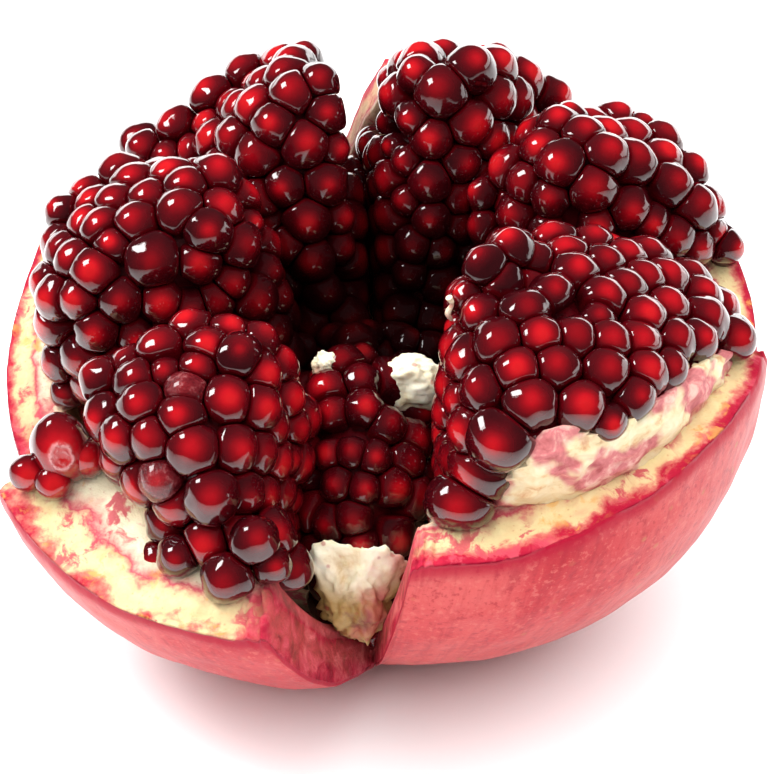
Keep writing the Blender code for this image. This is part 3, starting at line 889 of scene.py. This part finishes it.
def rind_material():
    m = Nodes("rind_flesh_and_skin")
    co = m.coords()
    cut, rim, torn, az, arc = (m.attr(k) for k in ("cut", "rim", "torn", "az", "arc"))
    # skin: coral to crimson, in broad clouds, fine freckles and streaks down the fruit
    cyl = m.new("ShaderNodeCombineXYZ")
    m.put(cyl.inputs[0], m.math("MULTIPLY", az, .30))
    m.put(cyl.inputs[1], m.math("MULTIPLY", arc, .055))
    clouds = m.noise(m.mapping(co, 38), 1.0, 4, .55, .4)
    streaks = m.noise(cyl.outputs[0], 1.6, 5, .62, .3)
    frk = m.noise(m.mapping(co, 880), 1.0, 4, .65)
    skin = m.ramp(clouds, [(.30, (.41, .013, .024)), (.48, (.48, .036, .044)), (.66, (.56, .085, .082))])
    skin = m.mix(m.step(streaks, .46, .72, 0, .6), skin, (.30, .006, .018))
    skin = m.mix(m.step(streaks, .40, .22, 0, .35), skin, (.56, .13, .10))
    skin = m.mix(m.step(frk, .53, .66, 0, .60), skin, (.58, .13, .11))
    skin = m.mix(m.step(frk, .46, .34, 0, .60), skin, (.31, .010, .022))
    spots = m.voronoi(m.mapping(co, 210), 1.0)
    skin = m.mix(m.math("MULTIPLY", m.step(spots, .16, .05), m.step(clouds, .42, .6, .2, .75)),
                 skin, (.42, .15, .06))
    foot = m.step(arc, 34, 14)
    skin = m.mix(m.math("MULTIPLY", foot, .82), skin, (.45, .010, .007))
    skin = m.mix(m.step(rim, 3.6, 0.2, 0, .9), skin, (.34, .004, .026))
    # cut wall: crimson at the skin, cream in the middle, mottled, pink at the membrane
    mott = m.noise(m.mapping(co, 330), 1.0, 5, .62, .5)
    broad = m.noise(m.mapping(co, 95), 1.0, 3, .5)
    wander = m.noise(m.mapping(co, 170), 1.0, 3, .5, .6)
    grit = m.noise(m.mapping(co, 1100), 1.0, 3, .6)
    cutv = m.math("ADD", cut, m.math("ADD", m.math("MULTIPLY", m.math("SUBTRACT", mott, .5), .48),
                                     m.math("MULTIPLY", m.math("SUBTRACT", wander, .5), .75)))
    cutv = m.math("ADD", cutv, m.math("MULTIPLY", m.math("SUBTRACT", grit, .5), .22))
    cutv = m.math("ADD", cutv, m.math("MULTIPLY", m.step(az, 192, 202), m.step(cut, .5, 0, 0, .20)))
    flesh = m.ramp(m.math("MULTIPLY", cutv, .4),
                   [(0.0, (.34, .004, .026)), (.07, (.40, .010, .034)), (.12, (.55, .16, .12)),
                    (.17, (.68, .50, .26)), (.27, (.72, .58, .31)), (.34, (.68, .46, .26)),
                    (.40, (.50, .07, .10)), (.46, (.70, .42, .32)), (.55, (.80, .70, .50)),
                    (.80, (.78, .64, .42)), (1.0, (.55, .34, .20))])
    flesh = m.mix(m.math("MULTIPLY", m.step(mott, .50, .60), m.step(broad, .42, .58, .0, .9)),
                  flesh, (.50, .055, .085))
    flesh = m.mix(m.math("MULTIPLY", m.step(mott, .46, .34), m.step(broad, .52, .38, .0, .75)),
                  flesh, (.72, .36, .09))
    pits = m.voronoi(m.mapping(co, 900), 1.0)
    flesh = m.mix(m.math("MULTIPLY", m.step(pits, .20, .07), .35), flesh, (.45, .14, .06))
    tear = m.ramp(mott, [(.34, (.20, .004, .016)), (.50, (.40, .012, .040)), (.66, (.56, .09, .11))])
    flesh = m.mix(m.math("MULTIPLY", m.math("MULTIPLY", torn, m.step(cut, 3.6, 2.2)), .92), flesh, tear)
    color = m.mix(m.step(cut, .001, .03), skin, flesh)
    rough = m.math("ADD", m.step(cut, .001, .05, .36, .58), m.math("MULTIPLY", m.math("SUBTRACT", frk, .5), .12))
    micro = m.noise(m.mapping(co, 1500), 1.0, 3, .6)
    h_skin = m.math("ADD", m.math("MULTIPLY", frk, .5), m.math("MULTIPLY", micro, .35))
    h_cut = m.math("ADD", mott, m.math("MULTIPLY", micro, .6))
    hmix = m.new("ShaderNodeMix", data_type="FLOAT")
    m.put(hmix.inputs[0], m.step(cut, .001, .05))
    m.put(hmix.inputs[2], m.math("MULTIPLY", h_skin, .35))
    m.put(hmix.inputs[3], h_cut)
    m.set(Base_Color=color, Roughness=rough, Normal=m.bump(hmix.outputs[0], .5, .0006),
          Coat_Roughness=.3)
    m.bsdf.inputs["Specular IOR Level"].default_value = 0.16
    m.bsdf.inputs["Subsurface Weight"].default_value = 0.08
    m.bsdf.inputs["Subsurface Radius"].default_value = (1.0, .35, .2)
    m.bsdf.inputs["Subsurface Scale"].default_value = .0012
    return m.mat


def pith_material():
    m = Nodes("torn_pith")
    co = m.coords()
    n = m.noise(m.mapping(co, 260), 1.0, 5, .6, .3)
    b = m.noise(m.mapping(co, 90), 1.0, 3, .5)
    tone = m.attr("tone")
    c = m.ramp(n, [(.28, (.62, .46, .24)), (.46, (.84, .76, .54)), (.75, (.92, .89, .74))])
    c2 = m.ramp(n, [(.30, (.18, .05, .025)), (.46, (.38, .24, .075)), (.72, (.52, .38, .15))])
    c = m.mix(tone, c, c2)
    c = m.mix(m.math("MULTIPLY", m.step(b, .52, .64), .7), c, (.50, .08, .09))
    dots = m.voronoi(m.mapping(co, 420), 1.0)
    c = m.mix(m.step(dots, .24, .12, 0, .6), c, (.40, .04, .05))
    m.set(Base_Color=c, Roughness=.55, Normal=m.bump(n, .5, .0006))
    m.bsdf.inputs["Subsurface Weight"].default_value = 0.15
    m.bsdf.inputs["Subsurface Radius"].default_value = (1.0, .6, .4)
    m.bsdf.inputs["Subsurface Scale"].default_value = .001
    return m.mat


ruby, core_shade_mat = aril_material(), core_material()
rind.data.materials.append(rind_material())
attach(rind, "root")
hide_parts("rind")

for name in SURF:
    ids = [i for i, a in enumerate(arils) if a[0] == name]
    label = name.replace("arils", "cluster")
    for k in range(0, len(ids), 140):
        ob = aril_object(label + ("_%d" % (k // 140 + 1)), ids[k:k + 140], ruby)
        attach(ob, "root")
        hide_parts(name)
    V, F, N, tree, inner, IV = SURF[name]
    # the core: a sheet under the arils, painted as the shade in the gaps between them, turning to the flesh they sit
    # in where it meets the rind
    CV, CF, CN = cluster_surface(name, 132, 88)
    near = np.array([RIND_TREE.find_nearest(Vector(v))[3] for v in CV - CN * 2.0])
    outer = CN[:, 0] * CV[:, 0] + CN[:, 1] * CV[:, 1] > -.15 * np.hypot(CV[:, 0], CV[:, 1])
    az = np.degrees(np.arctan2(CV[:, 1], CV[:, 0]))
    above = CV[:, 2] - np.interp(az, LIP_AZ, LIP_Z, period=360)
    bed = smooth(11.0, 6.5, near) * outer * smooth(5, -1, above)
    spot = np.array([project(v) for v in CV])
    low = np.array([y > 350 and any(within(c, x, y + 7) for c in CLEAR) for x, y in spot])
    bed = np.maximum(bed, 1.0 * low * (CN @ BACK > -.2)) * (name != "arils_center")
    lump = 1.1 * fbm(CV / 4.0, 4, 90)
    core_v = CV - CN * (SINK + 1.6 - bed * (2.5 + lump))[:, None]
    core = make_mesh(label + "_core", core_v, CF, {"bed": bed, "hollow_shade": hollow_shade(core_v)})
    core.data.materials.append(core_shade_mat)
    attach(core, "root")

# ----------------------------------------------------------------- scraps ----
pith = pith_material()


def scrap(name, pos, size, tone, seed, node=None, knobs=(), ragged=.62):
    D, F = icosphere(5)
    pos, size = np.array(pos, float), np.array(size, float)
    r = 1 + .22 * fbm(D * 1.6, 3, seed) + .16 * ragged * fbm(D * 5, 3, seed + 5)
    P = D * size * r[:, None]
    for way, reach, width in knobs:
        way = np.array(way, float) / np.linalg.norm(way)
        k = np.clip(D @ way, 0, 1) ** width
        P = P + way * (reach * k)[:, None]
    fray = .9 * fbm(P / 1.5, 3, seed + 11) + .5 * np.abs(fbm(P / .7, 2, seed + 17))
    P = P + D * (fray * ragged)[:, None]
    # tone: darker and more olive towards the bottom of a scrap
    ob = make_mesh(name, P + pos, F, {"tone": tone * smooth(.70, .05, D[:, 2])})
    ob.data.materials.append(pith)
    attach(ob, "root")
    if node:
        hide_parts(node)
    return ob


scrap("pith_scrap_center", (3.6, -6.9, 44.0), (4.6, 3.1, 3.6), 0.0, 51, "pith_center",
      [((1, -.2, -.75), 5.0, 5), ((-.3, -.6, -.9), 1.5, 4)], .16)
scrap("pith_scrap_left", (-9.0, -6.6, 45.9), (1.9, 1.8, 2.2), .35, 57, "pith_left", (), .22)
scrap("pith_scrap_front", (-4.2, -33.4, 24.4), (4.7, 3.2, 7.6), 1.0, 63, "pith_front",
      [((-1, -.1, .95), 4.4, 9), ((-.35, -.2, 1), 1.6, 14), ((.25, -.3, 1), 2.0, 12), ((1, -.1, .80), 3.4, 10)])


def strand(name, path, radius, node=None):
    cu = bpy.data.curves.new(name, "CURVE")
    cu.dimensions = "3D"
    cu.bevel_depth = 1.0
    cu.bevel_resolution = 4
    cu.use_fill_caps = True
    sp = cu.splines.new("BEZIER")
    sp.bezier_points.add(len(path) - 1)
    for b, (co, r) in zip(sp.bezier_points, path):
        b.co = Vector(co) * MM
        b.radius = r * MM
        b.handle_left_type = b.handle_right_type = "AUTO"
    ob = bpy.data.objects.new(name, cu)
    me = bpy.data.meshes.new_from_object(ob)
    bpy.data.objects.remove(ob)
    tone = me.attributes.new("tone", "FLOAT", "POINT")
    tone.data.foreach_set("value", np.full(len(me.vertices), .15, np.float32))
    me.shade_smooth()
    ob = bpy.data.objects.new(name, me)
    bpy.context.scene.collection.objects.link(ob)
    ob.data.materials.append(pith)
    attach(ob, "root")
    if node:
        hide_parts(node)
    return ob


strand("torn_fibre", [((8.9, -22.6, 64.6), .25), ((8.4, -22.9, 66.0), .45), ((8.9, -22.8, 67.4), .3),
                      ((8.5, -23.0, 68.6), .5)], 1, "fibre")

# ------------------------------------------------------------ loose arils ----
LOOSE = {
    "aril_loose_1": ((-46.0, -25.8, 44.9), (4.3, 3.9, 4.9), "b"),
    "aril_loose_2": ((-42.2, -26.6, 43.9), (2.7, 2.7, 3.0), ""),
    "aril_loose_3": ((-47.0, -28.6, 41.2), (2.8, 2.7, 2.6), ""),
    "aril_loose_4": ((-50.8, -26.8, 41.4), (2.8, 2.7, 2.8), ""),
}
for k, (name, (pos, size, kind)) in enumerate(LOOSE.items()):
    pos, size = np.array(pos), np.array(size)
    LD, LF = icosphere(5 if k == 0 else 4)
    P = LD * size * (1 + .07 * noise(LD * 1.3 + k * 9))[:, None]
    mark = np.zeros(len(P))
    if k == 0:
        long = RIGHT * .45 - UP * .9
        long /= np.linalg.norm(long)
        P = P + long * ((P @ long) * .13)[:, None]
        q = BACK * .9 + RIGHT * .10 - UP * .30
        a_q = np.degrees(np.arccos(np.clip(LD @ (q / np.linalg.norm(q)), -1, 1)))
        a_q = a_q + 3.5 * noise(LD * 4)
        mark = np.exp(-((a_q - 21) / 3.0) ** 2) + .5 * np.exp(-((a_q - 12) / 1.8) ** 2)
        P = P + LD * (.20 * mark - .34 * np.exp(-(a_q / 15) ** 2))[:, None]
    P = P + pos
    # painted glow of the loose arils, leaning to the front
    g = np.array([.1, -.80, .30])
    g /= np.linalg.norm(g)
    ang = np.degrees(np.arccos(np.clip(LD @ g, -1, 1)))
    n = len(P)
    ob = make_mesh(name.replace("aril_loose", "loose_aril"), P, LF,
                   {"painted_glow": np.exp(-(ang / 58) ** 2), "press": np.zeros(n),
                    "rnd": np.full(n, .9), "kind": .5 * mark, "mark": mark, "hollow_shade": np.zeros(n)})
    ob.data.materials.append(ruby)
    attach(ob, "root")
    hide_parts(name)

# ------------------------------------------------------- floor and lights ----
bm = bmesh.new()
bmesh.ops.create_grid(bm, x_segments=1, y_segments=1, size=4.0)
me = bpy.data.meshes.new("floor")
bm.to_mesh(me)
bm.free()
floor = bpy.data.objects.new("floor", me)
floor.location = (0, 0, -0.00005)
bpy.context.scene.collection.objects.link(floor)
fm = Nodes("pale_floor")
fm.set(Base_Color=(.93, .93, .93), Roughness=.28)
fm.bsdf.inputs["IOR"].default_value = 1.45
floor.data.materials.append(fm.mat)


def area_light(name, pos, aim, size, power, seen="both"):
    """a soft panel; seen says whether it lights surfaces, shows in gloss, or both"""
    li = bpy.data.lights.new(name, "AREA")
    li.shape = "RECTANGLE"
    li.size, li.size_y = size
    li.energy = power
    ob = bpy.data.objects.new(name, li)
    ob.location = pos
    ob.rotation_euler = (Vector(aim) - Vector(pos)).to_track_quat("-Z", "Y").to_euler()
    ob.visible_camera = False
    ob.visible_glossy = seen != "diffuse"
    ob.visible_diffuse = seen != "gloss"
    bpy.context.scene.collection.objects.link(ob)
    return ob


area_light("overhead", (-0.15, 0.2, 1.0), (-0.15, 0.2, 0), (3.2, 3.2), 100, "diffuse")
area_light("key_window", (-0.36, 0.03, 0.43), (0, 0, .04), (0.17, 0.17), 1.5)
area_light("panel_back", (0.0, 1.0, 0.19), (0, 0, .06), (2.4, 0.26), 6.5, "gloss")
area_light("panel_right", (1.0, 0.25, 0.20), (0, 0, .05), (1.0, 0.24), 2.0, "gloss")

world = bpy.data.worlds.new("studio")
world.use_nodes = True
bg = world.node_tree.nodes["Background"]
bg.inputs[0].default_value = (1, 1, 1, 1)
bg.inputs[1].default_value = 0.07
bpy.context.scene.world = world
bpy.context.scene.view_settings.view_transform = "Standard"
bpy.context.scene.view_settings.look = "None"
bpy.context.scene.view_settings.exposure = 0.0
